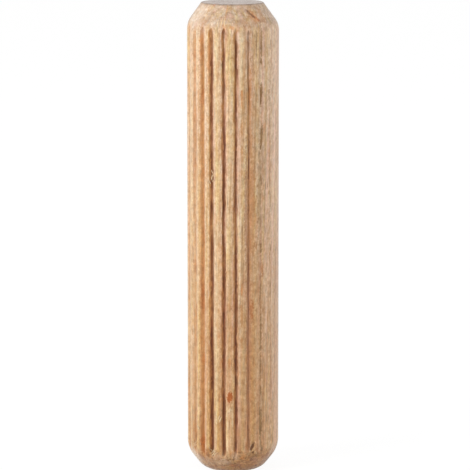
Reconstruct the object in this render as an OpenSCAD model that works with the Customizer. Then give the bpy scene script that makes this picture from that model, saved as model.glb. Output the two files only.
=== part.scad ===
// Fluted wooden dowel pin, turned from one piece of beech.
// Both ends are chamfered, with their corners worn round, and flutes run from end to end.
// The flutes are pressed in by the teeth of a round die. The rod ran a little off the middle
// of that die, so the flutes are deepest on one side and die out on the other.
// Origin at the middle of the lower end face, +Z along the pin.

/* [Pin] */
// Diameter over the lands between the flutes
pin_d = 7.8; // [6:0.1:12]
// Length from end face to end face
pin_l = 40; // [20:1:80]

/* [Upper end] */
// How far the chamfer comes in from the side
upper_chamfer_in = 1.3; // [1:0.05:1.8]
// How far the chamfer reaches down the pin
upper_chamfer_l = 1.8; // [1.4:0.05:2.6]
// Radius of the corner between the chamfer and the side
upper_shoulder_r = 1.9; // [0.5:0.1:2.5]
// Radius of the corner between the chamfer and the end face
upper_rim_r = 0.15; // [0.05:0.05:1.2]

/* [Lower end] */
// How far the chamfer comes in from the side
lower_chamfer_in = 1.4; // [1:0.05:1.8]
// How far the chamfer reaches up the pin
lower_chamfer_l = 1.8; // [1.4:0.05:2.6]
// Radius of the corner between the chamfer and the side
lower_shoulder_r = 2.3; // [0.5:0.1:2.5]
// Radius of the corner between the chamfer and the end face
lower_rim_r = 1.35; // [0.05:0.05:1.5]

/* [Flutes] */
// Teeth round the die, evenly spaced
tooth_count = 23; // [12:1:28]
// Turn of the die's first tooth about the pin, in degrees from +X
first_tooth_turn = 8; // [0:0.5:15.5]
// Depth that every flute would have with the rod in the middle of the die
flute_depth = 0.14; // [0.1:0.01:0.25]
// How far the rod ran off the middle of the die
die_offset = 0.2; // [0:0.01:0.25]
// Side on which the teeth cleared the rod, in degrees from +X
die_offset_turn = 15; // [0:5:355]
// Depth of bite below which a tooth leaves no flute
least_flute_depth = 0.05; // [0.02:0.01:0.1]
// Width of the flat at the bottom of a flute
flute_bottom_w = 0.06; // [0.04:0.01:0.2]
// Slope of a flute's walls, in degrees from its middle plane
flute_wall_slope = 34; // [15:1:40]
// Radius of the edge between a flute's wall and the land
land_edge_r = 0.2; // [0.04:0.01:0.25]

/* [Hidden] */
$fn = 96;
pin_r = pin_d / 2;
tooth_pitch = 360 / tooth_count;
// Rounding circles are set in so that they cross the faces they blend at this angle, in degrees
blend_angle = 5;
// The most of a flute's depth that the edges of its lands may take
edge_share = 0.8;
// How far the cutting shapes reach past the rod
overrun = 1;

function unit(p) = p / norm(p);
function direction(turn) = [cos(turn), sin(turn)];
function tooth_turn(i) = first_tooth_turn + i * tooth_pitch;
// How deep a tooth bit, with the rod off the middle of the die
function bite(i) = flute_depth - die_offset * cos(tooth_turn(i) - die_offset_turn);

// Takes the point off an outline's corner and leaves an arc of radius r.
// The corner lies between the outline's points before and after it.
module corner_cut(before, corner, after, r) {
    to_before = unit(before - corner);
    to_after = unit(after - corner);
    middle = unit(to_before + to_after);
    half_angle = acos(to_before * to_after) / 2;
    inset = r * cos(blend_angle);
    centre = corner + middle * inset / sin(half_angle);
    reach = r + overrun;
    side_a = unit(corner + to_before * inset / tan(half_angle) - centre) * reach;
    side_b = unit(corner + to_after * inset / tan(half_angle) - centre) * reach;
    tip = -middle * reach / sin(half_angle);
    translate(centre)
        difference() {
            polygon([[0, 0], side_a, tip, side_b]);
            circle(r);
        }
}

// Half of the pin's outline: radius across, height up
module outline() {
    lower_face = [pin_r - lower_chamfer_in, 0];
    lower_shoulder = [pin_r, lower_chamfer_l];
    upper_shoulder = [pin_r, pin_l - upper_chamfer_l];
    upper_face = [pin_r - upper_chamfer_in, pin_l];
    foot = [0, 0];
    head = [0, pin_l];
    difference() {
        polygon([foot, lower_face, lower_shoulder, upper_shoulder, upper_face, head]);
        corner_cut(foot, lower_face, lower_shoulder, lower_rim_r);
        corner_cut(lower_face, lower_shoulder, upper_shoulder, lower_shoulder_r);
        corner_cut(lower_shoulder, upper_shoulder, upper_face, upper_shoulder_r);
        corner_cut(upper_shoulder, upper_face, head, upper_rim_r);
    }
}

// Section of one flute on the +X side: flat bottom, sloping walls and rounded land edges
module flute_section(depth) {
    up_wall = direction(flute_wall_slope);
    into_wood = [-up_wall.y, up_wall.x];
    edge_r = min(land_edge_r, edge_share * depth / (1 - sin(flute_wall_slope)));
    inset = edge_r * cos(blend_angle);
    wall_foot = [pin_r - depth, flute_bottom_w / 2];
    start = wall_foot + inset * into_wood;
    along = start * up_wall;
    rise = sqrt(pow(along, 2) - start * start + pow(pin_r - inset, 2)) - along;
    wall_top = wall_foot + rise * up_wall;
    edge_centre = start + rise * up_wall;
    outside = edge_centre * (pin_r + overrun) / norm(edge_centre);
    side = [wall_foot, wall_top, edge_centre, outside];
    difference() {
        polygon(concat(side, [for (i = [3:-1:0]) [side[i].x, -side[i].y]]));
        for (y = [-1, 1])
            translate([edge_centre.x, y * edge_centre.y])
                circle(edge_r);
    }
}

module flutes() {
    translate([0, 0, -overrun])
        linear_extrude(pin_l + 2 * overrun)
            for (i = [0:tooth_count - 1])
                if (bite(i) > least_flute_depth)
                    rotate(tooth_turn(i))
                        flute_section(bite(i));
}

module dowel_pin() {
    color([0.85, 0.69, 0.53])
        difference() {
            rotate_extrude()
                outline();
            flutes();
        }
}

dowel_pin();
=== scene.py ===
"""A fluted beech dowel pin standing on its end on a pale floor.

Blender's lengths are metres. Sizes whose names end in _MM are millimetres, and a turn is an angle
in degrees about the pin, from the front (-Y) towards the right (+X).
"""

import math

import bpy
import numpy as np
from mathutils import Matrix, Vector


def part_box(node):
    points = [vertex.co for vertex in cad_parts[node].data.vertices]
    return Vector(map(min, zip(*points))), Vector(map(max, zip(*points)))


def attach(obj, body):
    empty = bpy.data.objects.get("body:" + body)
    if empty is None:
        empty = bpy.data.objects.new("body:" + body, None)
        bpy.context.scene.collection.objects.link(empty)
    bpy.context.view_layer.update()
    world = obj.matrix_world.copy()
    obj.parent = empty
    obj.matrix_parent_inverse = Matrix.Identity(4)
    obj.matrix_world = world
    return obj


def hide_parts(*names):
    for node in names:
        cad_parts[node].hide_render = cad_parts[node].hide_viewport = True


MM = 0.001
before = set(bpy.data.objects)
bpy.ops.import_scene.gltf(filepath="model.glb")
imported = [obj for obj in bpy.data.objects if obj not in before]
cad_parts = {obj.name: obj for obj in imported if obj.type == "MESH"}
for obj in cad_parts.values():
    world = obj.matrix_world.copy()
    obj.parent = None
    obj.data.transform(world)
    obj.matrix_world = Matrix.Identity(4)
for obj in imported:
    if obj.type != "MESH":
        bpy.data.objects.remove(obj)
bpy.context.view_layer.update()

# The rod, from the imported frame
pin_low, pin_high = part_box("dowel_pin")
PIN_R_MM = (pin_high[0] - pin_low[0]) / 2 / MM
PIN_L_MM = (pin_high[2] - pin_low[2]) / MM

# Each end: chamfer in from the side and along the pin, and the radii of shoulder and rim
LOWER_END_MM = (1.4, 1.8, 2.3, 1.35)
UPPER_END_MM = (1.3, 1.8, 1.9, 0.15)

# The fluting die: evenly spaced teeth about an axis that lay a little off the rod's
TOOTH_COUNT = 23
FIRST_TOOTH_TURN = 98.4
FLUTE_DEPTH_MM = 0.14
DIE_OFFSET_MM = 0.2
DIE_OFFSET_TURN = 105
LEAST_FLUTE_DEPTH_MM = 0.05

# Turns near which a tooth stood off its even spacing, and by how much
SPACING_ERRORS = ((-58, 1.2), (-42, 1.2), (-27, -0.5), (4, -0.4), (20, 0.2), (35, 0.5))

# How a flute wanders along the pin, as curves of how far and over what length in mm: the turn of
# its middle, its depth as a share, and its edges
MIDDLE_WANDER = ((0.35, 7), (0.25, 1.1))
DEPTH_WANDER = ((0.1, 5), (0.08, 0.8))
EDGE_WANDER_MM = ((0.03, 1.7), (0.03, 0.5), (0.035, 0.2))

# A flute's section: half its width at no depth, how much wider each side gets with depth, how far
# its edges roll over onto the lands, and how deep that rolling goes
FLUTE_SLIT_MM = 0.03
FLUTE_SPREAD = 0.92
LAND_ROLL_MM = 0.28
ROLL_DEPTH_MM = 0.08

# A flute's stain and painted shade are full from one depth on. Between two greater depths, which
# the flutes round the left side have where the key lamp shines into them, the stain and its painted
# shade thin, down to a least share
FULL_BITE_MM = 0.145
THINNING_BITE_MM = (0.26, 0.34)
THINNED_STAIN = 0.5

# Each flute's wall on the side of the smaller turn faces away from the key lamp in front, and its
# stain is darkened with painted shade; the other wall's paler tint is painted shade in the groove
# as well. How far each wall's stain and painted shade reaches from the flute's middle, and how much
# of it the pale wall has
DARK_WALL_REACH_MM = 0.27
PALE_WALL_REACH_MM = 0.25
PALE_WALL_STAIN = 0.5

# Between these depths the pale wall's stain and painted shade fall to a share of themselves, and
# the dark wall's come to reach farther
BARING_BITE_MM = (0.22, 0.29)
BARE_STAIN = 0.25
WIDER_REACH_MM = 0.1

# Half the width of the dark line along the bottom of a flute, partly a stain that the tooth's tip
# burnished and partly painted shade in the groove: at no depth, and how much wider with depth
DARK_LINE_MM = 0.08
DARK_LINE_SPREAD = 0.4

# Between these depths a flute's dark line comes to lose a share of itself near the upper end: all
# of that share down to the first way from the end, and none of it from the second on
FADING_BITE_MM = (0.2, 0.28)
FADED_MM = (1.9, 2.8)
FADED_SHARE = 0.65

# How much quicker the flutes run out than the end's own outline falls away, and over what depth
# their floors ease into it. They are fully stained, with their painted shade, where this share of
# their depth is left, and a depth under the least one counts as that
LOWER_RUN_OUT = 0.8
UPPER_RUN_OUT = 2.2
EASE_MM = 0.015
WHOLE_STAIN = 2 / 3
LEAST_PRESSED_MM = 0.02

# How far the upper chamfer lies off the rod's middle, to the left, and how far in from the side it
# comes to lie there
CHAMFER_SHIFT_MM = 0.05
CHAMFER_SHIFT_RUN_MM = 0.4

# How far in from the side the wood is all end cut
END_CUT_MM = 0.25

# The side left bare by the die, as the cosine of the way round from the die's offset, and how far
# from a flute's middle the land between flutes starts and is whole
BARE_COSINE = (0.3, 0.7)
LAND_MM = (0.2, 0.55)

# Fine relief, as layers of depth, cells round the pin and step along its outline: the fuzz of the
# cut ends and the grain of the side. Both fade out towards the faces' middles
FUZZ_MM = ((0.012, 150, 0.16), (0.01, 60, 0.4))
GRAIN_MM = ((0.006, 130, 1.7), (0.006, 40, 6))
RELIEF_FADE_MM = 1.5

# Small faults in the wood, from the top down, each with its turn, height, width, length, lean to
# the right and share. Chips are broken out of the lower shoulder: they are sunk, and their dark
# colour is painted shade in their hollows
CHIPS = (
    (25, 2.5, 0.3, 0.8, 28, 1.2),
    (26.8, 2, 0.22, 0.26, 0, 1),
    (39.3, 2.15, 0.2, 0.42, 8, 0.7),
    (-28.9, 2.2, 0.3, 0.5, 20, 0.4),
)
# How deep a whole chip is, and over what shares of its width and length it reaches
CHIP_DEPTH_MM = 0.09
CHIP_REACH = (0.7, 0.6)

# Broad yellow-brown patches
AMBER_MARKS = (
    (-42, 39.5, 0.5, 0.4, 0, 0.8),
    (47, 39.4, 0.5, 0.6, -20, 0.8),
    (-10, 39.35, 1.6, 0.16, -84, 0.9),
    (30.5, 39.05, 1, 1.3, -42, 1.2),
    (47, 38.9, 0.9, 1, 0, 0.6),
    (16, 38.6, 0.7, 0.5, -30, 0.6),
    (3.5, 38, 0.36, 0.9, 0, 1.2),
    (-42.5, 37.2, 0.3, 1.4, 0, 0.8),
    (-29, 36.8, 0.24, 2, 0, 0.5),
    (-58, 36.5, 0.3, 2.6, 0, 0.7),
    (25, 32, 0.5, 9, 0, 0.2),
    (-58, 30, 0.24, 12, 0, 0.4),
    (11, 29.8, 0.22, 1.2, 0, 1.4),
    (11, 27.8, 0.22, 0.8, 0, 1.2),
    (24.6, 23, 0.66, 9, 0, 1.4),
    (-43.5, 20, 0.6, 37, 0, 0.9),
    (-38.5, 20, 0.2, 36, 0, 0.5),
    (-33.5, 20, 0.22, 37, 0, 0.5),
    (-16.8, 20, 0.22, 37, 0, 0.5),
    (22.5, 20, 0.26, 36, 0, 0.9),
    (11, 14, 0.24, 2, 0, 1.3),
    (11, 11.5, 0.24, 1, 0, 1.2),
    (-2, 11, 0.3, 5, 0, 0.4),
    (29, 11, 1.4, 19, 0, 0.6),
    (-3.6, 10, 0.3, 0.5, 0, 1.3),
    (24.6, 10, 0.66, 15, 0, 1.4),
    (-17, 3.4, 0.5, 2, 0, 0.4),
    (20, 2, 0.8, 0.6, 0, 0.6),
    (-3.5, 1.9, 0.34, 0.5, 0, 0.8),
    (0, 1.8, 8, 0.9, 0, 0.6),
    (11.5, 1.75, 0.8, 0.5, 0, 0.9),
    (14, 1.75, 0.9, 0.45, 0, 1.1),
    (-36, 1.4, 0.9, 0.7, 0, 0.8),
    (30, 1.3, 3.4, 1.5, 0, 0.8),
    (-31, 1.2, 0.5, 0.6, 0, 0.6),
)
# Reddish-brown spots and streaks
RUSTY_MARKS = (
    (34.5, 38.95, 0.24, 0.8, -42, 0.9),
    (-57, 35.8, 0.3, 0.9, 0, 0.5),
    (-42.5, 32.2, 0.3, 1.4, 0, 0.8),
    (-57, 26.6, 0.3, 0.8, 0, 0.4),
    (-58, 18, 0.4, 1.5, 0, 0.6),
    (39.3, 17.8, 0.24, 1.5, 0, 1),
    (-42.5, 15.2, 0.34, 2.4, 0, 0.9),
    (-3.6, 14.6, 0.24, 0.7, 0, 0.7),
    (23.8, 14.3, 0.42, 1.8, 0, 0.9),
    (-19, 12.2, 0.3, 0.8, 0, 0.5),
    (-42.5, 10, 0.3, 1, 0, 0.7),
    (-4, 6.85, 0.5, 0.95, 0, 2.4),
    (-42.6, 2.7, 0.34, 1.7, 0, 1.2),
    (-35, 2, 0.7, 0.7, 20, 0.5),
    (0, 0.8, 0.7, 0.3, 0, 0.6),
)
# Light orange streaks
GINGER_MARKS = (
    (33, 38.93, 0.42, 1, -42, 0.7),
    (-11, 38.25, 0.3, 0.6, 0, 0.8),
    (-1, 38.15, 0.45, 0.35, 20, 0.7),
    (-44.5, 36.5, 0.2, 2.4, 0, 0.6),
    (-31, 36.5, 0.2, 2.4, 0, 0.6),
    (22, 33, 0.24, 5, 0, 0.4),
    (11, 32.2, 0.2, 1.7, 0, 1),
    (11, 16.1, 0.16, 0.9, 0, 1),
    (12, 1.5, 0.5, 0.3, 20, 0.7),
)
# Dull purplish-brown patches. On the left and middle of the lower chamfer they stand in for light
# from the floor: painted light
MAUVE_MARKS = (
    (-35, 39.9, 0.6, 0.2, 0, 1),
    (0, 38.2, 9, 1.4, 0, 0.2),
    (16.5, 23.4, 0.3, 10, 0, 0.9),
    (20.5, 11.5, 0.45, 14, 0, 0.6),
    (38, 1.9, 0.5, 0.7, -10, 0.6),
    # Painted light from the floor, as is the patch at turn 9 below
    (-19, 1.35, 1.1, 0.7, 0, 0.3),
    (31, 1.35, 1.2, 0.5, 20, 1),
    (9, 0.85, 0.6, 0.4, 0, 0.8),
)
# Small dark marks: a scratch on the upper chamfer, open vessels and torn places, and painted
# shadows under torn fibres
DARK_MARKS = (
    (22.5, 39.5, 0.22, 0.3, -48, 0.5),
    (25.5, 39.35, 0.26, 0.6, -48, 0.9),
    (-4, 39.3, 0.9, 0.1, 8, 0.5),
    (-8, 39.2, 0.2, 0.24, 0, 0.5),
    (30, 39.1, 0.22, 0.8, -45, 1),
    # Painted shadows under the torn fibres here, and under the one at turn -47.7
    (-27, 26, 0.18, 0.6, 20, 0.9),
    (-25, 25.5, 0.15, 0.5, -20, 0.8),
    (-29, 25.2, 0.12, 0.4, 30, 0.8),
    (-17.5, 6.8, 0.24, 0.5, 25, 0.4),
    (-47.7, 3.9, 0.16, 0.3, 20, 0.5),
    (-29.5, 2.25, 0.3, 0.5, 10, 0.3),
    (11, 2.1, 0.14, 0.3, 0, 0.5),
    (9, 2.05, 0.7, 0.12, 10, 0.7),
    (-12.6, 2, 0.2, 0.6, 0, 0.8),
    (9.2, 1.7, 0.16, 0.3, -30, 0.6),
    (1.5, 1.6, 0.16, 0.7, 6, 0.8),
    (17.7, 1.55, 0.18, 0.26, 20, 0.7),
    (4, 1, 0.4, 0.14, 10, 0.5),
)
# The broken line of a shallow flute along the pin, thin ticks beside it, and dull patches
DASHES = (
    (30.4, 36.9, 0.12, 2.2, 0, 0.9),
    (37.9, 36.6, 0.16, 3, 0, 0.9),
    (54, 36.6, 0.12, 1, 0, 0.6),
    (37.9, 35.3, 0.2, 0.7, 0, 1.2),
    (37.4, 32.6, 0.24, 1.9, 3, 1.3),
    (52, 32.3, 0.12, 1.6, 0, 0.6),
    (38, 28.9, 0.22, 2.4, 3, 1.3),
    (77, 26.6, 0.16, 0.9, 0, 1),
    (37.5, 25.4, 0.16, 1.4, -3, 0.9),
    (48, 24.8, 0.1, 0.8, 3, 0.8),
    (35.5, 24.7, 0.42, 9.4, 0, 0.5),
    (42.8, 23.9, 0.1, 1, 0, 0.8),
    (36.5, 23.8, 0.14, 1, 4, 0.9),
    (54, 23.4, 0.12, 1.8, 0, 0.8),
    (77, 21.1, 0.16, 1.4, 0, 1),
    (54, 19.5, 0.12, 0.7, 0, 0.9),
    (37.5, 19.3, 0.2, 1.1, 0, 1.2),
    (37, 15.8, 0.16, 1.8, 3, 0.9),
    (54, 15.7, 0.12, 2, 2, 0.8),
    (37.3, 12.4, 0.16, 3.6, 0, 1),
    (50, 12, 0.12, 1.6, 0, 0.7),
    (46, 11.6, 0.1, 1.2, 0, 0.6),
    (37, 9.4, 0.16, 2.6, 0, 0.9),
    (37.3, 7.3, 0.24, 0.9, 0, 1),
    (37, 4.6, 0.28, 3.2, 0, 1.4),
    (38, 2.6, 0.2, 1, -5, 0.8),
    (40, 2.1, 0.34, 0.8, -10, 0.8),
    (25, 1.8, 1.3, 0.5, 10, 0.5),
    (-34, 1.7, 0.3, 0.5, 20, 0.6),
    (34, 1.7, 0.9, 0.4, 30, 0.7),
    (29, 1.55, 0.14, 0.8, 60, 0.9),
    (10, 1.4, 0.14, 0.7, -60, 0.7),
)
# Broad pale patches, and painted light: highlights on the left of the upper chamfer, along both
# flanks and along the left edges of two lands, and light from the floor painted on the left and
# middle of the lower chamfer
PALE_PATCHES_AND_PAINTED_LIGHT = (
    (12, 39.75, 2.4, 0.5, 0, 0.25),
    (-46, 39.3, 1.2, 1.2, 0, 0.4),
    (-64, 39, 2.2, 1.7, 0, 0.9),
    (-26, 38.7, 0.8, 0.6, 0, 0.5),
    (-54, 38, 2, 1.8, 0, 0.5),
    (20, 37.4, 0.5, 0.8, 0, 0.4),
    (9, 37.3, 0.6, 1.2, 0, 0.5),
    (46, 22, 0.3, 34, 0, 0.25),
    (-68, 20, 1.8, 44, 0, 0.2),
    (-22, 20, 0.34, 38, 0, 0.2),
    (8.4, 20, 0.24, 38, 0, 0.2),
    (61, 20, 0.6, 38, 0, 0.25),
    (62, 1.9, 0.8, 1.2, 0, 0.5),
    (4, 1.7, 0.9, 0.8, 0, 0.6),
    (-68, 1.4, 2, 1.4, 0, 1),
    (-17, 1.3, 2.2, 1.3, 0, 0.5),
    (-36, 1.1, 1, 0.9, 0, 0.3),
)
# Pale torn and bare places, and a highlight painted along the land that faces the key lamp
PALE_MARKS = (
    (-11, 38.6, 0.12, 0.8, -4, 0.9),
    (-20, 38.5, 0.12, 0.7, 0, 0.7),
    (-15, 38.5, 0.1, 0.8, 4, 0.8),
    (3, 38.1, 0.2, 0.7, 0, 0.6),
    (-3.4, 37.9, 0.2, 0.4, 0, 1),
    (-10, 36.8, 0.12, 0.8, 0, 0.5),
    (-26, 25.8, 0.1, 0.5, 20, 0.9),
    (-28, 25.3, 0.1, 0.3, -30, 0.8),
    (6.5, 21.8, 0.14, 1.6, 0, 0.9),
    # A painted highlight along the land that faces the key lamp
    (-49.5, 20, 0.2, 38, 0, 0.35),
    (-2.6, 5.85, 0.1, 0.34, -20, 0.9),
    (-4.8, 5.8, 0.1, 0.5, 24, 1),
    (-17.8, 5.1, 0.1, 0.4, 20, 1),
    (-15.8, 4.95, 0.14, 0.55, 20, 1.2),
    (-49, 4, 0.14, 0.5, -20, 0.8),
    (23, 2.35, 0.08, 0.4, 28, 0.5),
    (-23.5, 2.15, 0.12, 0.5, 35, 1),
    (-27, 2.1, 0.14, 0.6, 40, 1),
    (-24.5, 1.8, 0.12, 0.4, 40, 0.9),
    (-5.5, 1.8, 0.2, 0.9, 0, 0.5),
)
# Torn fibres that stand up from the wood, each with the turn and height of its root, its length,
# width, lean to the right, and how far out its tip stands
TORN_FIBRES = (
    (-28, 1.7, 0.55, 0.12, 40, 0.08),
    (-25.5, 1.75, 0.5, 0.1, 25, 0.1),
    (-23.5, 1.85, 0.45, 0.1, 50, 0.08),
    (-22, 2, 0.3, 0.08, -20, 0.06),
    (-16.8, 4.7, 0.5, 0.13, 20, 0.07),
    (-18.6, 4.9, 0.4, 0.1, 25, 0.06),
    (-5, 5.5, 0.5, 0.1, 24, 0.05),
    (-3, 5.7, 0.35, 0.08, -20, 0.05),
    (-48.5, 3.8, 0.5, 0.12, -15, 0.08),
    (-27.5, 25.4, 0.5, 0.1, 15, 0.07),
    (-25.5, 25.9, 0.4, 0.08, -20, 0.06),
    (-29, 25, 0.35, 0.09, -10, 0.06),
    (-2.5, 37.6, 0.4, 0.1, 0, 0.05),
    (-20, 38.2, 0.55, 0.08, 0, 0.04),
    (-15.5, 38.2, 0.6, 0.07, 3, 0.04),
    (-11.5, 38.3, 0.6, 0.08, -4, 0.04),
)

# Stray ones about the flutes' ends: how many, the share of them on the lower shoulder, how far
# above the lower end or below the upper one, how far to either side of a flute, and the rest
STRAY_FIBRES = 60
STRAY_LOW_SHARE = 0.6
STRAY_LOW_MM = (1.6, 2.6)
STRAY_HIGH_MM = (1.4, 2.2)
STRAY_TURN = 5
STRAY_LENGTH_MM = (0.12, 0.35)
STRAY_WIDTH_MM = (0.03, 0.07)
STRAY_LEAN = 40
STRAY_LIFT_MM = (0.01, 0.05)

# A fibre's rows and sides, how many times wider than thick it is, and how deep its root lies
FIBRE_ROWS = 7
FIBRE_SIDES = 6
FIBRE_FLATNESS = 3
FIBRE_ROOT_MM = 0.01

# Each kind of mark: its colour, how fully it covers, how ragged its edges are, and its places. They
# are laid one over the other, and each mark fades out between two shares of its size
MARKS = (
    # Pale patches, many of them painted highlights and painted floor light
    ((240, 218, 196), 0.7, 1, PALE_PATCHES_AND_PAINTED_LIGHT),
    ((202, 144, 88), 0.5, 1, AMBER_MARKS),
    ((176, 124, 94), 0.6, 1, MAUVE_MARKS),
    ((216, 136, 64), 0.6, 1, GINGER_MARKS),
    ((180, 98, 36), 0.5, 1, RUSTY_MARKS),
    ((244, 216, 174), 0.75, 0.7, PALE_MARKS),
    ((120, 80, 44), 0.75, 0.7, DARK_MARKS),
    ((156, 118, 74), 0.8, 0.9, DASHES),
    # The chips' dark colour is painted shade in their hollows
    ((112, 68, 28), 0.9, 0.5, CHIPS),
)
MARK_FADE = (0.6, 1.3)

# Noises of the wood: scale along X, Y and Z per mm, detail and roughness. Most are drawn out along
# the pin, as its fibres are
NOISES = {
    "rings": ((0.35, 1.1, 0.03), 2, 0.5),
    "zones": ((1.7, 1.7, 0.035), 2, 0.5),
    "hues": ((2.3, 2.3, 0.05), 2, 0.5),
    "blush": ((1.9, 1.9, 0.22), 3, 0.6),
    "gold": ((2.8, 2.2, 0.2), 3, 0.6),
    "streaks": ((5, 5, 0.16), 2, 0.5),
    "fibres": ((9, 9, 0.45), 3, 0.6),
    "mottling": ((3.4, 3.4, 2.6), 3, 0.6),
    "grit": ((10, 10, 6), 2, 0.5),
    "ticks": ((8, 8, 1.2), 2, 0.5),
    "specks": ((5, 5, 1.8), 2, 0.5),
    "flecks": ((3.6, 1.6, 0.5), 3, 0.55),
    "fuzz": ((3.4, 3.4, 3.4), 4, 0.65),
    "breaks": ((1.2, 1.2, 0.35), 2, 0.5),
}
# The same for the knife's ridges on the cut ends, with scales along the way round and the height
TURNED_NOISE = ((0.9, 6, 1), 3, 0.6)

# Vessels and pores, cut lengthwise: the cells' scale, between which distances from a cell's middle
# its dash comes in, and between which of the cells' random shades
VESSELS = ((3.2, 3.2, 0.38), (0.24, 0.08), (0.35, 0.65))
PORES = ((6.5, 6.5, 0.6), (0.34, 0.1), (0.35, 0.7))

# Their colours and how fully those cover. Vessels tell more on the bare side
VESSEL_BROWN = (142, 100, 70)
VESSEL_SHARE = 0.45
BARE_VESSEL_SHARE = 0.2
PORE_BROWN = (166, 122, 90)
PORE_SHARE = 0.4

# The parts of the skin: how much less blush and gold the cut ends have, the heights between which
# the cut gets coarser downwards, and how far below the upper end its face starts and is whole
CUT_TINT_LOSS = 0.6
COARSE_HEIGHTS_MM = (20, 10)
FACE_EDGE_MM = (0.16, 0.02)

# The wood's colours, laid one over the other on the palest: the noise that each follows, between
# which of its values it comes in, how fully it covers, on which part of the skin, and the colour
PALE_WOOD = (232, 201, 170)
WOOD_LAYERS = (
    ("rings", 0.35, 0.65, 1, "whole", (222, 185, 152)),
    ("zones", 0.5, 0.72, 0.8, "whole", (204, 158, 118)),
    ("zones", 0.48, 0.28, 0.6, "whole", (244, 220, 186)),
    ("hues", 0.52, 0.7, 0.8, "whole", (232, 186, 162)),
    ("hues", 0.48, 0.3, 0.8, "whole", (230, 194, 136)),
    ("blush", 0.48, 0.68, 0.6, "tinted", (232, 186, 162)),
    ("gold", 0.54, 0.72, 0.7, "tinted", (234, 200, 144)),
    ("streaks", 0.5, 0.75, 0.7, "side", (186, 138, 100)),
    ("streaks", 0.48, 0.25, 0.5, "side", (248, 228, 198)),
    ("fibres", 0.5, 0.8, 0.55, "side", (176, 128, 94)),
    ("fibres", 0.48, 0.2, 0.5, "side", (250, 230, 204)),
    ("flecks", 0.6, 0.74, 0.55, "side", (212, 142, 92)),
)
END_LAYERS = (
    ("fuzz", 0.45, 0.7, 0.55, "end_cut", (184, 146, 112)),
    ("fuzz", 0.45, 0.25, 0.35, "end_cut", (236, 208, 176)),
    ("gold", 0.48, 0.66, 0.7, "coarse", (160, 100, 62)),
    ("blush", 0.5, 0.7, 0.5, "coarse", (238, 200, 164)),
)

# Colours that multiply the wood's own on a part of the skin, and how much. The one on the low part
# is painted shade, darker towards the lower end. The upper face is grey
PART_TINTS = (
    ("coarse", 1, (255, 242, 220)),
    ("end_cut", 0.8, (216, 217, 217)),
    ("land", 1, (253, 255, 240)),
    ("low", 1, (242, 230, 210)),
)
FACE_GREY = (124, 102, 90)
FACE_SHARE = 0.8

# Laid over the marks: a last tint of the coarse end, and the torn fibres' colour
COARSE_TINT = (252, 246, 234)
TORN_WOOD = (236, 206, 162)
TORN_SHARE = 0.7

# Stains of the flutes with painted shade over them: the dark wall faces away from the key lamp in
# front, and the line lies in the groove's bottom. The share that each follows, between which of its
# values it comes in, and the colour that multiplies the wood's. The line along a flute's bottom
# breaks off here and there
FLUTE_STAINS_AND_SHADE = (
    ("dark_wall_stain_shade", 0.05, 0.6, (240, 230, 206)),
    ("dark_wall_stain_shade", 0.3, 0.95, (236, 212, 184)),
    ("pale_wall_stain_shade", 0.05, 0.6, (236, 220, 222)),
    ("flute_line", 0.1, 0.8, (162, 128, 92)),
)
LINE_BREAKS = (0.2, 0.55)

# How ragged the noises make the edges of the stains and of the marks
RAGGED_STAINS = {"mottling": 0.5, "fibres": 0.4, "grit": 0.9}
RAGGED_MARKS = {"mottling": 1.2, "grit": 1.2, "fibres": 0.8}

# How much the noises lighten and darken the colour: anywhere, and how much more on a part
SHADES = (
    ("mottling", 1.2, 0.5, "coarse"),
    ("grit", 0.6, 0.6, "coarse"),
    ("ticks", 0.35, 0.6, "bare"),
    ("fibres", 0, 0.45, "bare"),
    ("hues", 0, 0.8, "bare"),
    ("zones", 0, 0.8, "bare"),
    ("turned", 0, 0.6, "end_cut"),
    ("turned", 0, 1, "coarse"),
    ("fuzz", 0, 0.9, "coarse"),
)

# How strongly a change of shade tells in red, green and blue: dark wood is browner, light is paler
SHADE_TINT = (0.76, 1.03, 1.37)

# Specks of warmer and of cooler wood: between which values of their noise they come in, how much,
# and the colour that multiplies the wood's
WARM_SPECKS = (0.45, 0.7, 0.8, (255, 246, 230))
COOL_SPECKS = (0.5, 0.3, 0.8, (242, 248, 252))

# The finest relief, which only the light shows: what lifts the side, how the vessels sink it, the
# fuzz of the cut ends, and its height
SIDE_LIFT = {"fibres": 0.4, "mottling": 0.35, "grit": 0.25}
VESSEL_LIFT = -0.7
FUZZ_LIFT = 1.4
BUMP_MM = 0.04
BUMP_STRENGTH = 0.7

# The wood's roughness, and how much its lightest fibres add
ROUGHNESS = 0.44
FIBRE_ROUGHNESS = 0.2

# How the log lies in the pin: its lean about X and Y in radians, and the turn that brings its
# rings square to Y, so that the front is cut along them
LOG_LEAN = (0.02, -0.015)
PITH_TURN = 14

# Spacing of the mesh's rows and columns
FACE_STEP_MM = 0.17
CHAMFER_STEP_MM = 0.1
SHANK_STEP_MM = 0.16
LAND_STEP_MM = 0.14
FLUTE_COLUMNS = 15
RIM_ROWS = 5

# The camera: pin radii in front of the pin and above its foot, tilt down in degrees, how far it
# stands to the right, and the frame and the focal length in pixels
CAMERA_BACK_R = 65.85
CAMERA_HEIGHT_R = 15.97
CAMERA_PITCH = 9.31
CAMERA_SIDE_MM = 0.18
FRAME_PIXELS = 470
FOCAL_PIXELS = 3054.9

# The floor: its size in metres, the colour that lights the pin, the colour that is seen, and how
# brightly and how much it glows there
FLOOR_SIZE = 2.4
FLOOR_GREY = (205, 203, 200)
FLOOR_WHITE = (250, 250, 250)
FLOOR_GLOW = 1.03
FLOOR_GLOW_SHARE = 0.9

# How strongly the world lights the scene. Where it is seen, its strength is 1
WORLD_LIGHT = 0.68
WHITE = (1, 1, 1, 1)

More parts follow.
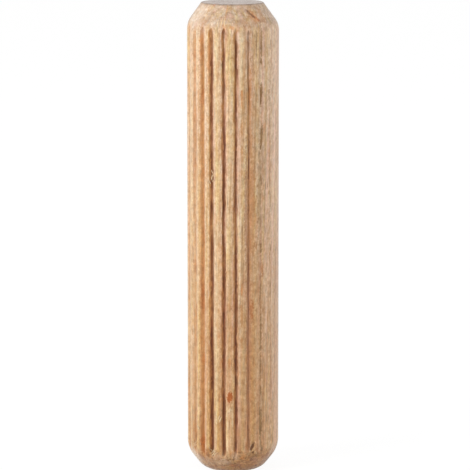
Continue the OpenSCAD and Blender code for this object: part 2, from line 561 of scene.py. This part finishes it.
# The lamps about the pin's middle: distance and size in metres, and power in watts
LAMPS = {
    "key": {"turn": -55, "raised": 30, "distance": 0.4, "size": 0.2, "power": 0.92},
    "rim": {"turn": 100, "raised": 10, "distance": 0.4, "size": 0.3, "power": 0.32},
}

GRAIN_SEED = 11


def smooth(t):
    """Smoothstep: 3t^2 - 2t^3 with t held between 0 and 1."""
    t = np.clip(t, 0, 1)
    return t * t * (3 - 2 * t)


def rise(value, start, end):
    """0 up to start and 1 from end on, with a smoothstep between."""
    return smooth((value - start) / (end - start))


def drift(rng, along, step):
    """A smooth random curve: a random value from -1 to 1 every step, joined by smoothsteps."""
    place = (along - along.min()) / step
    knots = rng.uniform(-1, 1, int(place.max()) + 3)
    cell = place.astype(int)
    return knots[cell] + (knots[cell + 1] - knots[cell]) * smooth(place - cell)


def wander(rng, along, layers, middle=0):
    """A middle value plus smooth random curves, each given by how far it goes and its step."""
    return sum((far * drift(rng, along, step) for far, step in layers), middle)


def mottle(rng, around, along, cells, step):
    """A random relief of cells round the pin by step along it, smoothstepped both ways."""
    u = np.mod(around / 360, 1) * cells
    v = (along - along.min()) / step
    heights = rng.uniform(-1, 1, (cells, int(v.max()) + 3))
    i, j = u.astype(int) % cells, v.astype(int)
    a, b = smooth(u - u.astype(int)), smooth(v - j)
    near = heights[i, j] * (1 - b) + heights[i, j + 1] * b
    far = heights[(i + 1) % cells, j] * (1 - b) + heights[(i + 1) % cells, j + 1] * b
    return near * (1 - a) + far * a


def rough_relief(rng, around, along, layers):
    """Random reliefs added up, each given by its depth, cells round the pin and step along it."""
    return sum(depth * mottle(rng, around, along, cells, step) for depth, cells, step in layers)


def line(start, end, step):
    """Points from start up to but not with end, about step apart."""
    start, end = np.array(start), np.array(end)
    count = max(1, math.ceil(np.linalg.norm(end - start) / step))
    return start + (end - start) * np.arange(count)[:, None] / count


def arc(centre, radius, start, end, count):
    """Points centre + radius (cos, sin) from one angle up to but not with the other, in degrees."""
    angles = np.radians(start + (end - start) * np.arange(count) / count)
    return np.array(centre) + radius * np.stack([np.cos(angles), np.sin(angles)], 1)


def end_outline(chamfer_in, chamfer_l, shoulder_r, rim_r):
    """Outline of a downward end, (radius, height) from the face's middle to the shank.

    The face, an arc tangent to face and chamfer, the chamfer, and an arc tangent to chamfer
    and side. A tangent arc starts radius * tan(half the turn) from its corner.
    """
    slope = math.degrees(math.atan2(chamfer_in, chamfer_l))
    rim_run = rim_r * math.tan(math.radians(90 - slope) / 2)
    shoulder_run = shoulder_r * math.tan(math.radians(slope) / 2)
    face_r = PIN_R_MM - chamfer_in - rim_run
    shoulder_centre = (PIN_R_MM - shoulder_r, chamfer_l + shoulder_run)
    rim = arc((face_r, rim_r), rim_r, -90, -slope, RIM_ROWS)
    rows = math.ceil(shoulder_r * math.radians(slope) / CHAMFER_STEP_MM)
    shoulder = arc(shoulder_centre, shoulder_r, -slope, 0, rows)
    rim_end = arc((face_r, rim_r), rim_r, -slope, 0, 1)[0]
    face = line((0, 0), (face_r, 0), FACE_STEP_MM)
    return np.concatenate([face, rim, line(rim_end, shoulder[0], CHAMFER_STEP_MM), shoulder])


def outline():
    """Radius and height of every row of the pin, from the lower face's middle to the upper's."""
    lower = end_outline(*LOWER_END_MM)
    upper = end_outline(*UPPER_END_MM)[::-1]
    upper[:, 1] = PIN_L_MM - upper[:, 1]
    shank_low = (PIN_R_MM, 2 * lower[-1, 1] - lower[-2, 1])
    shank = line(shank_low, upper[0], SHANK_STEP_MM)
    rows = np.concatenate([lower, shank, upper])
    return rows[:, 0], rows[:, 1]


def teeth():
    """Turn and depth of each flute: depth - offset * cos(turn from the side left clear)."""
    turn = (FIRST_TOOTH_TURN + np.arange(TOOTH_COUNT) * 360 / TOOTH_COUNT + 180) % 360 - 180
    turn.sort()
    depth = FLUTE_DEPTH_MM - DIE_OFFSET_MM * np.cos(np.radians(turn - DIE_OFFSET_TURN))
    for near, error in SPACING_ERRORS:
        turn[np.argmin(np.abs(turn - near))] += error
    found = depth > LEAST_FLUTE_DEPTH_MM
    return turn[found], depth[found]


def half_width(depth):
    """Half of a flute's width between its rolled edges, in mm: slit + spread * depth."""
    return FLUTE_SLIT_MM + FLUTE_SPREAD * depth


def columns(flute_turns, flute_depths):
    """Turn of every column: close together over each flute and spread evenly over each land."""
    halves = np.degrees((half_width(flute_depths) + LAND_STEP_MM) / PIN_R_MM)
    result = []
    for i, (turn, half) in enumerate(zip(flute_turns, halves)):
        after = flute_turns[i + 1] if i + 1 < len(flute_turns) else flute_turns[0] + 360
        result.append(turn + half * np.linspace(-1, 1, FLUTE_COLUMNS))
        land = np.array([turn + half, after - halves[(i + 1) % len(halves)]])
        count = math.ceil(math.radians(land[1] - land[0]) * PIN_R_MM / LAND_STEP_MM)
        result.append(land[0] + (land[1] - land[0]) * np.arange(1, count) / count)
    return np.concatenate(result)


def flute_relief(rng, turn, height, flute_turns, flute_depths):
    """The flutes at each vertex: depth, shares of both walls' stain and painted shade and of the
    dark line, and nearest middle.

    Each flute is the sum of two falls from full depth to nothing, smoothsteps of the distance from
    its middle: a steep one to its half width, and a slight one on over its rolled edge. Its middle,
    depth and width drift a little along the pin, and its edges are ragged. The stains with their
    painted shade, and the line, fall in the same way, from half or a third of their reach to all of
    it.
    """
    relief, dark_wall_share, pale_wall_share, line_share = np.zeros((4, *turn.shape))
    nearest = np.full(turn.shape, PIN_R_MM)
    for middle, depth in zip(flute_turns, flute_depths):
        line_height = height[:, :1]
        here_middle = wander(rng, line_height, MIDDLE_WANDER, middle)
        here_depth = wander(rng, line_height, DEPTH_WANDER, 1)
        away = np.mod(turn - here_middle + 180, 360) - 180
        arc_mm = np.abs(np.radians(away)) * PIN_R_MM
        nearest = np.minimum(nearest, arc_mm)
        roll = min(ROLL_DEPTH_MM, depth / 2)
        # torn is how far a deep flute, round the left where the key lamp shines in, has its stain
        # and painted shade thinned
        torn = rise(depth, *THINNING_BITE_MM)
        bite = min(1, (depth / FULL_BITE_MM) ** 2) * (1 - (1 - THINNED_STAIN) * torn)
        bared = rise(depth, *BARING_BITE_MM)
        faded = rise(depth, *FADING_BITE_MM) * (1 - rise(PIN_L_MM - line_height, *FADED_MM))
        pale_share = PALE_WALL_STAIN * (1 - (1 - BARE_STAIN) * bared)
        # The dark wall's stain is partly painted shade, as it faces away from the key lamp in
        # front; the pale wall's lighter tint is painted shade too
        dark_wall_stain_shade = (away < 0, dark_wall_share, 1, DARK_WALL_REACH_MM + WIDER_REACH_MM * bared)
        pale_wall_stain_shade = (away >= 0, pale_wall_share, pale_share, PALE_WALL_REACH_MM)
        for side, stain, share, reach in (dark_wall_stain_shade, pale_wall_stain_shade):
            ragged = wander(rng, line_height, EDGE_WANDER_MM)
            width = half_width(depth) + ragged
            steep = 1 - smooth(arc_mm / width)
            gentle = 1 - smooth(arc_mm / (width + LAND_ROLL_MM))
            relief += side * ((depth - roll) * here_depth * steep + roll * gentle)
            here = bite * share * (1 - rise(arc_mm - ragged, reach / 2, reach))
            np.maximum(stain, side * here, out=stain)
            line_width = DARK_LINE_MM + DARK_LINE_SPREAD * depth
            here = bite * (1 - torn) * (1 - rise(arc_mm + ragged, line_width / 3, line_width))
            here = here * (1 - FADED_SHARE * faded)
            line_share = np.maximum(line_share, side * here)
    return relief, dark_wall_share, pale_wall_share, line_share, nearest


def chip_relief(turn, height):
    """Depth of the chips at each vertex: each falls from its middle to its oval edge."""
    relief = np.zeros(turn.shape)
    for middle, level, width, length, lean, share in CHIPS:
        across, up = np.radians(turn - middle) * PIN_R_MM, height - level
        c, s = math.cos(math.radians(lean)), math.sin(math.radians(lean))
        widths = (across * c - up * s) / (CHIP_REACH[0] * width)
        lengths = (across * s + up * c) / (CHIP_REACH[1] * length)
        relief += CHIP_DEPTH_MM * share * (1 - smooth(np.hypot(widths, lengths)))
    return relief


def flat(grids):
    """Values of each piece's grid in its vertices' order: first pole, inner rows and last pole."""
    inner = grids[:, 1:-1].reshape(len(grids), -1, grids.shape[-1])
    return np.concatenate([grids[:, :1, 0], inner, grids[:, -1:, 0]], axis=1)


def closed_mesh(name, points, attributes):
    """A mesh of pieces, each a grid of rows and columns that joins up, with a pole at each end."""
    pieces, rows, count = points.shape[:3]
    i, j = np.meshgrid(np.arange(1, rows - 2), np.arange(count), indexing="ij")
    k = (j + 1) % count
    corners = [i * count + j, i * count + k, (i + 1) * count + k, (i + 1) * count + j]
    quads = np.stack(corners, -1).reshape(-1, 4) - count + 1
    ring = np.arange(count)
    after = (ring + 1) % count
    last = (rows - 3) * count + 1
    low_fan = np.stack([np.zeros(count, int), 1 + after, 1 + ring], 1)
    high_fan = np.stack([last + ring, last + after, np.full(count, last + count)], 1)
    mesh = bpy.data.meshes.new(name)
    mesh.vertices.add(pieces * (last + count + 1))
    mesh.vertices.foreach_set("co", (flat(points) * MM).ravel())
    loops = np.concatenate([quads.ravel(), low_fan.ravel(), high_fan.ravel()])
    loops = (loops + np.arange(pieces)[:, None] * (last + count + 1)).ravel()
    sizes = np.tile(np.concatenate([np.full(len(quads), 4), np.full(2 * count, 3)]), pieces)
    mesh.loops.add(len(loops))
    mesh.loops.foreach_set("vertex_index", loops)
    mesh.polygons.add(len(sizes))
    mesh.polygons.foreach_set("loop_start", np.concatenate([[0], np.cumsum(sizes)[:-1]]))
    mesh.polygons.foreach_set("use_smooth", np.ones(len(sizes), bool))
    mesh.update(calc_edges=True)
    for title, grid in attributes.items():
        data = mesh.attributes.new(title, "FLOAT", "POINT").data
        data.foreach_set("value", flat(grid[..., None]).ravel())
    return mesh


def placed(name, data):
    """A new object that shows some data, linked into the scene."""
    thing = bpy.data.objects.new(name, data)
    bpy.context.collection.objects.link(thing)
    return thing


def fine_relief(rng, turn, row_r, row_z, end_cut):
    """Depth of the fuzz and grain at each vertex, and the outline's outward normal at each row.

    The normal of an outline with slopes (dr, dz) is (dz, -dr) over their length.
    """
    slope_r, slope_z = np.gradient(row_r), np.gradient(row_z)
    length = np.hypot(slope_r, slope_z)
    normals = (slope_z / length)[:, None], (-slope_r / length)[:, None]
    along = np.concatenate([[0], np.cumsum(np.hypot(np.diff(row_r), np.diff(row_z)))])[:, None]
    along = along + np.zeros(turn.shape)
    fuzz = rough_relief(rng, turn, along, FUZZ_MM)
    grain = rough_relief(rng, turn, along, GRAIN_MM)
    return np.abs(end_cut * fuzz + (1 - end_cut) * grain), normals


def make_pin():
    """The pin's whole skin: outline turned about the axis, less the flutes and the fine relief.

    Where the outline has come in by less than a flute is deep, the flute still cuts by the rest,
    d, as d^2 / (d + ease), and so it eases into the shoulder.
    """
    rng = np.random.default_rng(GRAIN_SEED)
    flute_turns, flute_depths = teeth()
    row_r, row_z = outline()
    turn, radius = np.meshgrid(columns(flute_turns, flute_depths), row_r)
    height = np.meshgrid(turn[0], row_z)[1]
    grid = flute_relief(rng, turn, height, flute_turns, flute_depths)
    pressed, dark_wall_share, pale_wall_share, dark_line, nearest = grid
    run_out = np.where(height < PIN_L_MM / 2, LOWER_RUN_OUT, UPPER_RUN_OUT)
    below = pressed - (PIN_R_MM - radius) * run_out
    cut = np.where(below > 0, below**2 / (below + EASE_MM), 0)
    stained = smooth(np.clip(cut / np.maximum(pressed, LEAST_PRESSED_MM), 0, 1) / WHOLE_STAIN)
    end_cut = np.clip((PIN_R_MM - radius) / END_CUT_MM, 0, 1) * (cut == 0)
    relief, (normal_r, normal_z) = fine_relief(rng, turn, row_r, row_z, end_cut)
    fade = np.clip(radius / RELIEF_FADE_MM, 0, 1)
    radius = radius - cut - relief * fade * normal_r - chip_relief(turn, height)
    height = height - relief * fade * normal_z
    angle = np.radians(turn)
    shift = CHAMFER_SHIFT_MM * smooth((PIN_R_MM - radius) / CHAMFER_SHIFT_RUN_MM)
    x = radius * np.sin(angle) - shift * fade * (height > PIN_L_MM / 2)
    points = np.stack([x, -radius * np.cos(angle), height], -1)
    bare = rise(np.cos(np.radians(turn - DIE_OFFSET_TURN)), *BARE_COSINE)
    attributes = {
        # Flute stains with their painted shade: both walls and the dark line along the bottom
        "dark_wall_stain_shade": dark_wall_share * stained,
        "pale_wall_stain_shade": pale_wall_share * stained,
        "flute_line": dark_line * stained,
        "end_cut": end_cut,
        "bare": bare,
        "land": rise(nearest, *LAND_MM) * (1 - bare) * (1 - end_cut),
    }
    attributes = {title: grid[None] for title, grid in attributes.items()}
    return placed("fluted_pin", closed_mesh("fluted_pin", points[None], attributes))


def make_fibres():
    """Torn fibres: flattened slivers that leave the wood at their roots and taper to a point.

    A point is at share s of the length and angle t round the sliver. There half the width is
    w = width / 2 * sqrt(1 - s^2), across is w * sin(t), and out is w * cos(t) / flatness plus
    lift * s^2, less the root's depth * (1 - s).
    """
    rng = np.random.default_rng(GRAIN_SEED + 1)
    flute_turns, _ = teeth()
    count = STRAY_FIBRES
    low = rng.random(count) < STRAY_LOW_SHARE
    low_heights = rng.uniform(*STRAY_LOW_MM, count)
    high_heights = PIN_L_MM - rng.uniform(*STRAY_HIGH_MM, count)
    strays = [
        rng.choice(flute_turns, count) + rng.uniform(-STRAY_TURN, STRAY_TURN, count),
        np.where(low, low_heights, high_heights),
        rng.uniform(*STRAY_LENGTH_MM, count),
        rng.uniform(*STRAY_WIDTH_MM, count),
        rng.uniform(-STRAY_LEAN, STRAY_LEAN, count),
        rng.uniform(*STRAY_LIFT_MM, count),
    ]
    table = np.concatenate([np.array(TORN_FIBRES), np.stack(strays, 1)])
    turn, root, length, width, lean, lift = table.T[:, :, None, None]
    s = np.linspace(0, 1, FIBRE_ROWS)[None, :, None]
    t = np.linspace(0, 2 * np.pi, FIBRE_SIDES + 1)[None, None, :-1]
    half = width / 2 * np.sqrt(1 - s**2)
    lean = np.radians(lean)
    across = half * np.sin(t) * np.cos(lean) + length * s * np.sin(lean)
    height = root + length * s * np.cos(lean) - half * np.sin(t) * np.sin(lean)
    row_r, row_z = outline()
    radius = np.interp(height, row_z, row_r) + half * np.cos(t) / FIBRE_FLATNESS
    radius = radius + lift * s**2 - FIBRE_ROOT_MM * (1 - s)
    angle = np.radians(turn) + across / PIN_R_MM
    points = np.stack([radius * np.sin(angle), -radius * np.cos(angle), height], -1)
    torn = {"torn": np.ones(radius.shape)}
    return placed("torn_fibres", closed_mesh("torn_fibres", points, torn))


def srgb(red, green, blue):
    """The linear colour of an 8-bit sRGB one."""
    parts = [c / 255 for c in (red, green, blue)]
    return [c / 12.92 if c <= 0.04045 else ((c + 0.055) / 1.055) ** 2.4 for c in parts] + [1]


class Value:
    """A socket of a shader tree, on which Python's operators add Math nodes."""

    def __init__(self, tree, socket):
        self.tree, self.socket = tree, socket

    def math(self, operation, first, second):
        """A Math node on two numbers or sockets."""
        return self.tree.node("ShaderNodeMath", {"operation": operation}, {0: first, 1: second})

    def __add__(self, other):
        return self.math("ADD", self, other)

    __radd__ = __add__

    def __sub__(self, other):
        return self.math("SUBTRACT", self, other)

    def __rsub__(self, other):
        return self.math("SUBTRACT", other, self)

    def __mul__(self, other):
        return self.math("MULTIPLY", self, other)

    __rmul__ = __mul__

    def __pow__(self, other):
        return self.math("POWER", self, other)

    def at_least(self, other):
        """The larger of the two."""
        return self.math("MAXIMUM", self, other)


class Tree:
    """A material's or the world's nodes, cleared and ready for its own."""

    def __init__(self, owner):
        owner.use_nodes = True
        self.tree = owner.node_tree
        self.tree.nodes.clear()

    def node(self, kind, settings, sockets, out=0):
        """One node: its settings are set first, then its sockets' values or links."""
        node = self.tree.nodes.new(kind)
        for key, value in settings.items():
            setattr(node, key, value)
        for key, value in sockets.items():
            if isinstance(value, Value):
                self.tree.links.new(value.socket, node.inputs[key])
            else:
                node.inputs[key].default_value = value
        return Value(self, node.outputs[out]) if len(node.outputs) else None

    def seen(self):
        """1 for the rays that show the surroundings: camera, glossy and transmission rays."""
        titles = ("Is Camera Ray", "Is Glossy Ray", "Is Transmission Ray")
        rays = (self.node("ShaderNodeLightPath", {}, {}, out=title) for title in titles)
        camera, glossy, through = rays
        return camera.at_least(glossy).at_least(through)

    def blend(self, base, over, amount, mode="MIX"):
        """Colour over laid on colour base by amount, from 0 to 1. Three numbers are 8-bit sRGB."""
        base, over = (srgb(*c) if isinstance(c, tuple) else c for c in (base, over))
        settings = {"data_type": "RGBA", "blend_type": mode, "clamp_factor": True}
        return self.node("ShaderNodeMix", settings, {0: amount, 6: base, 7: over}, out=2)

    def tinted(self, colour, tint, amount):
        """Colour multiplied by a tint, by amount."""
        return self.blend(colour, tint, amount, "MULTIPLY")

    def layered(self, colour, layers, noises, parts):
        """Colours laid one over the other, each where its noise and its part of the skin say."""
        for title, start, end, share, part, over in layers:
            amount = self.fade(noises[title], start, end, share) * parts[part]
            colour = self.blend(colour, over, amount)
        return colour

    def shaded(self, colour, amount):
        """Colour times 1 + amount, with more of the change in green and most in blue."""
        sockets = {0: SHADE_TINT, "Scale": amount}
        change = self.node("ShaderNodeVectorMath", {"operation": "SCALE"}, sockets)
        sockets = {0: change, 1: colour, 2: colour}
        return self.node("ShaderNodeVectorMath", {"operation": "MULTIPLY_ADD"}, sockets)

    def fade(self, value, start, end, most=1):
        """0 up to start and most from end on, smoothstepped between; start may be the larger."""
        low, high = min(start, end), max(start, end)
        ends = (0, most) if start < end else (most, 0)
        sockets = {0: value, 1: low, 2: high, 3: ends[0], 4: ends[1]}
        return self.node("ShaderNodeMapRange", {"interpolation_type": "SMOOTHSTEP"}, sockets)

    def stretched(self, place, scale):
        """Place scaled along X, Y and Z."""
        return self.node("ShaderNodeVectorMath", {"operation": "MULTIPLY"}, {0: place, 1: scale})

    def noise(self, place, scale, detail, roughness):
        """Noise from 0 to 1 over place, with its own scale along X, Y and Z."""
        sockets = {"Scale": 1, "Detail": detail, "Roughness": roughness}
        sockets["Vector"] = self.stretched(place, scale)
        return self.node("ShaderNodeTexNoise", {}, sockets)

    def dot(self, place, direction):
        """How far place lies along a direction, times the direction's length."""
        settings = {"operation": "DOT_PRODUCT"}
        return self.node("ShaderNodeVectorMath", settings, {0: place, 1: direction}, out="Value")

    def marks(self, place, table, ragged):
        """Ovals listed as turn, height, width, length, lean to the right and share.

        A point is away from an oval's middle by the root of across^2 + along^2, in half widths and
        half lengths. The oval fades out raggedly.
        """
        inner, outer = MARK_FADE
        total = 0
        for turn, height, width, length, lean, share in table:
            c, s = math.cos(math.radians(lean)), math.sin(math.radians(lean))
            middle = (math.radians(turn) * PIN_R_MM, height, 0)
            settings = {"operation": "SUBTRACT"}
            offset = self.node("ShaderNodeVectorMath", settings, {0: place, 1: middle})
            across = self.dot(offset, (2 * c / width, -2 * s / width, 0))
            along = self.dot(offset, (2 * s / length, 2 * c / length, 0))
            away = (across * across + along * along) ** 0.5
            total = self.fade(away + ragged, outer, inner, share).at_least(total)
        return total

    def dashes(self, place, scale, rim, shades):
        """Long dashes in random cells: they come in from the rim, where the cell's shade says."""
        sockets = {"Vector": self.stretched(place, scale), "Scale": 1}
        away = self.node("ShaderNodeTexVoronoi", {}, sockets)
        colour = Value(self, away.socket.node.outputs["Color"])
        shade = self.node("ShaderNodeSeparateColor", {}, {0: colour})
        return self.fade(away, *rim) * self.fade(shade, *shades)


def mixed(noises, shares):
    """Noises about their middle, 0.5, each times its share, added up."""
    return sum((noises[title] - 0.5) * share for title, share in shares.items())


def skin_parts(tree, height):
    """How much each point belongs to each part of the skin: the meshes' attributes, and more."""
    titles = ("dark_wall_stain_shade", "pale_wall_stain_shade", "flute_line", "end_cut", "bare", "land", "torn")
    parts = {
        title: tree.node("ShaderNodeAttribute", {"attribute_name": title}, {}, out="Fac")
        for title in titles
    }
    end_cut = parts["end_cut"]
    parts["whole"] = 1
    parts["side"] = 1 - end_cut
    parts["tinted"] = 1 - end_cut * CUT_TINT_LOSS
    parts["coarse"] = end_cut * tree.fade(height, *COARSE_HEIGHTS_MM)
    parts["face"] = end_cut * tree.fade(height, *(PIN_L_MM - way for way in FACE_EDGE_MM))
    # Painted shade: the wood darker towards the lower end
    parts["low"] = tree.fade(height, PIN_L_MM, 0)
    return parts


def bare_wood(tree, noises, parts, vessels, pores):
    """Rings, hues and fibres, vessels and pores cut lengthwise, and dull, fuzzy cut ends."""
    colour = tree.layered(PALE_WOOD, WOOD_LAYERS, noises, parts)
    vessel_share = parts["side"] * (VESSEL_SHARE + BARE_VESSEL_SHARE * parts["bare"])
    colour = tree.blend(colour, VESSEL_BROWN, vessels * vessel_share)
    colour = tree.blend(colour, PORE_BROWN, pores * parts["side"] * PORE_SHARE)
    colour = tree.layered(colour, END_LAYERS, noises, parts)
    for part, share, tint in PART_TINTS:
        colour = tree.tinted(colour, tint, parts[part] * share)
    return tree.blend(colour, FACE_GREY, parts["face"] * FACE_SHARE)


def stained_shaded_flutes(tree, colour, noises, parts):
    """The flutes' stains with their painted shade, each with its edges ragged by the noises."""
    edge = 1 + mixed(noises, RAGGED_STAINS)
    breaks = tree.fade(noises["breaks"], *LINE_BREAKS)
    for part, start, end, tint in FLUTE_STAINS_AND_SHADE:
        amount = tree.fade(parts[part] * edge, start, end)
        if part == "flute_line":
            amount = amount * breaks
        colour = tree.tinted(colour, tint, amount)
    return colour


def marked(tree, colour, skin, noises, parts):
    """The wood's faults, painted highlights and shadows among them, and the colour of fibres torn
    out of it.
    """
    jagged = mixed(noises, RAGGED_MARKS)
    for tint, cover, raggedness, table in MARKS:
        share = tree.marks(skin, table, jagged * raggedness)
        colour = tree.blend(colour, tint, share * cover)
    colour = tree.tinted(colour, COARSE_TINT, parts["coarse"])
    return tree.blend(colour, TORN_WOOD, parts["torn"] * TORN_SHARE)


def speckled(tree, colour, noises, parts):
    """Light and dark grain over everything, and specks of warmer and cooler wood."""
    shade = 0
    for title, share, more, part in SHADES:
        shade = (noises[title] - 0.5) * (share + more * parts[part]) + shade
    colour = tree.shaded(colour, shade)
    for start, end, share, tint in (WARM_SPECKS, COOL_SPECKS):
        colour = tree.tinted(colour, tint, tree.fade(noises["specks"], start, end, share))
    return colour


def beech():
    """Bare beech: long fibres, dark vessel dashes, ray flecks, and brown flutes, partly burnished
    and partly painted shade.

    Object coordinates are scaled to mm. The noises follow the log, which lies a little askew in
    the pin. The marks and the knife's ridges follow the skin, laid flat: the way round and height.
    """
    material = bpy.data.materials.new("beech")
    tree = Tree(material)
    place = tree.node("ShaderNodeTexCoord", {}, {}, out="Object")
    place = tree.node("ShaderNodeVectorMath", {"operation": "SCALE"}, {0: place, "Scale": 1 / MM})
    sockets = {"Vector": place, "Rotation": (*LOG_LEAN, math.radians(PITH_TURN))}
    log = tree.node("ShaderNodeMapping", {}, sockets)
    x, y, height = (tree.node("ShaderNodeSeparateXYZ", {}, {0: place}, out=axis) for axis in "XYZ")
    around = x.math("ARCTAN2", x, y * -1) * PIN_R_MM
    skin = tree.node("ShaderNodeCombineXYZ", {}, {0: around, 1: height})

    noises = {title: tree.noise(log, *noise) for title, noise in NOISES.items()}
    noises["turned"] = tree.noise(skin, *TURNED_NOISE)
    parts = skin_parts(tree, height)
    vessels, pores = tree.dashes(log, *VESSELS), tree.dashes(log, *PORES)
    colour = bare_wood(tree, noises, parts, vessels, pores)
    colour = stained_shaded_flutes(tree, colour, noises, parts)
    colour = marked(tree, colour, skin, noises, parts)
    colour = speckled(tree, colour, noises, parts)

    lift = sum(noises[title] * share for title, share in SIDE_LIFT.items()) + vessels * VESSEL_LIFT
    lift = lift * parts["side"] + noises["fuzz"] * parts["end_cut"] * FUZZ_LIFT
    sockets = {"Strength": BUMP_STRENGTH, "Distance": BUMP_MM * MM, "Height": lift}
    sockets = {
        "Base Color": colour,
        "Roughness": ROUGHNESS + noises["fibres"] * FIBRE_ROUGHNESS,
        "Normal": tree.node("ShaderNodeBump", {}, sockets),
        "Specular IOR Level": 0.5,
        "Sheen Weight": 0.5,
        "Sheen Roughness": 0.4,
    }
    surface = tree.node("ShaderNodeBsdfPrincipled", {}, sockets)
    tree.node("ShaderNodeOutputMaterial", {}, {"Surface": surface})
    return material


def floor_material():
    """Pale matt floor, shown to the camera as near white and still darkened by the pin's shadow."""
    material = bpy.data.materials.new("pale_floor")
    tree = Tree(material)
    seen = tree.seen()
    colour = tree.blend(FLOOR_GREY, FLOOR_WHITE, seen)
    matt = tree.node("ShaderNodeBsdfDiffuse", {}, {"Color": colour})
    white = tree.node("ShaderNodeEmission", {}, {"Color": WHITE, "Strength": FLOOR_GLOW})
    shares = {0: seen * FLOOR_GLOW_SHARE, 1: matt, 2: white}
    surface = tree.node("ShaderNodeMixShader", {}, shares)
    tree.node("ShaderNodeOutputMaterial", {}, {"Surface": surface})
    return material


def make_floor():
    """A flat floor at the pin's foot."""
    half = FLOOR_SIZE / 2
    mesh = bpy.data.meshes.new("floor")
    corners = [(-half, -half, 0), (half, -half, 0), (half, half, 0), (-half, half, 0)]
    mesh.from_pydata(corners, [], [(0, 1, 2, 3)])
    mesh.materials.append(floor_material())
    floor = placed("floor", mesh)


def light_world():
    """Even white surroundings: soft light on the pin and white behind it."""
    world = bpy.data.worlds.new("studio")
    bpy.context.scene.world = world
    tree = Tree(world)
    strength = WORLD_LIGHT + tree.seen() * (1 - WORLD_LIGHT)
    surface = tree.node("ShaderNodeBackground", {}, {"Color": WHITE, "Strength": strength})
    tree.node("ShaderNodeOutputWorld", {}, {"Surface": surface})


def add_lamp(name, turn, raised, distance, size, power):
    """A square area lamp aimed at the pin's middle, turned about it and raised, in degrees."""
    turn, raised = math.radians(turn), math.radians(raised)
    lamp = bpy.data.lights.new(name, "AREA")
    lamp.size = size
    lamp.energy = power
    holder = placed(name, lamp)
    level = distance * math.cos(raised)
    height = PIN_L_MM * MM / 2 + distance * math.sin(raised)
    holder.location = (level * math.sin(turn), -level * math.cos(turn), height)
    holder.rotation_euler = (math.pi / 2 - raised, 0, turn)


def add_camera():
    """A long lens in front of the pin, looking a little down on it."""
    camera = bpy.data.cameras.new("camera")
    camera.lens = camera.sensor_width * FOCAL_PIXELS / FRAME_PIXELS
    camera.clip_start = 0.01
    holder = placed("camera", camera)
    radius = PIN_R_MM * MM
    holder.location = (CAMERA_SIDE_MM * MM, -CAMERA_BACK_R * radius, CAMERA_HEIGHT_R * radius)
    holder.rotation_euler = (math.radians(90 - CAMERA_PITCH), 0, 0)
    bpy.context.scene.camera = holder


add_camera()
light_world()
for name, settings in LAMPS.items():
    add_lamp(name, **settings)
make_floor()
bpy.context.scene.view_settings.view_transform = "Standard"

wood = beech()
pin = make_pin()
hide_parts("dowel_pin")
for part in (pin, make_fibres()):
    part.data.materials.append(wood)
    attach(part, "root")
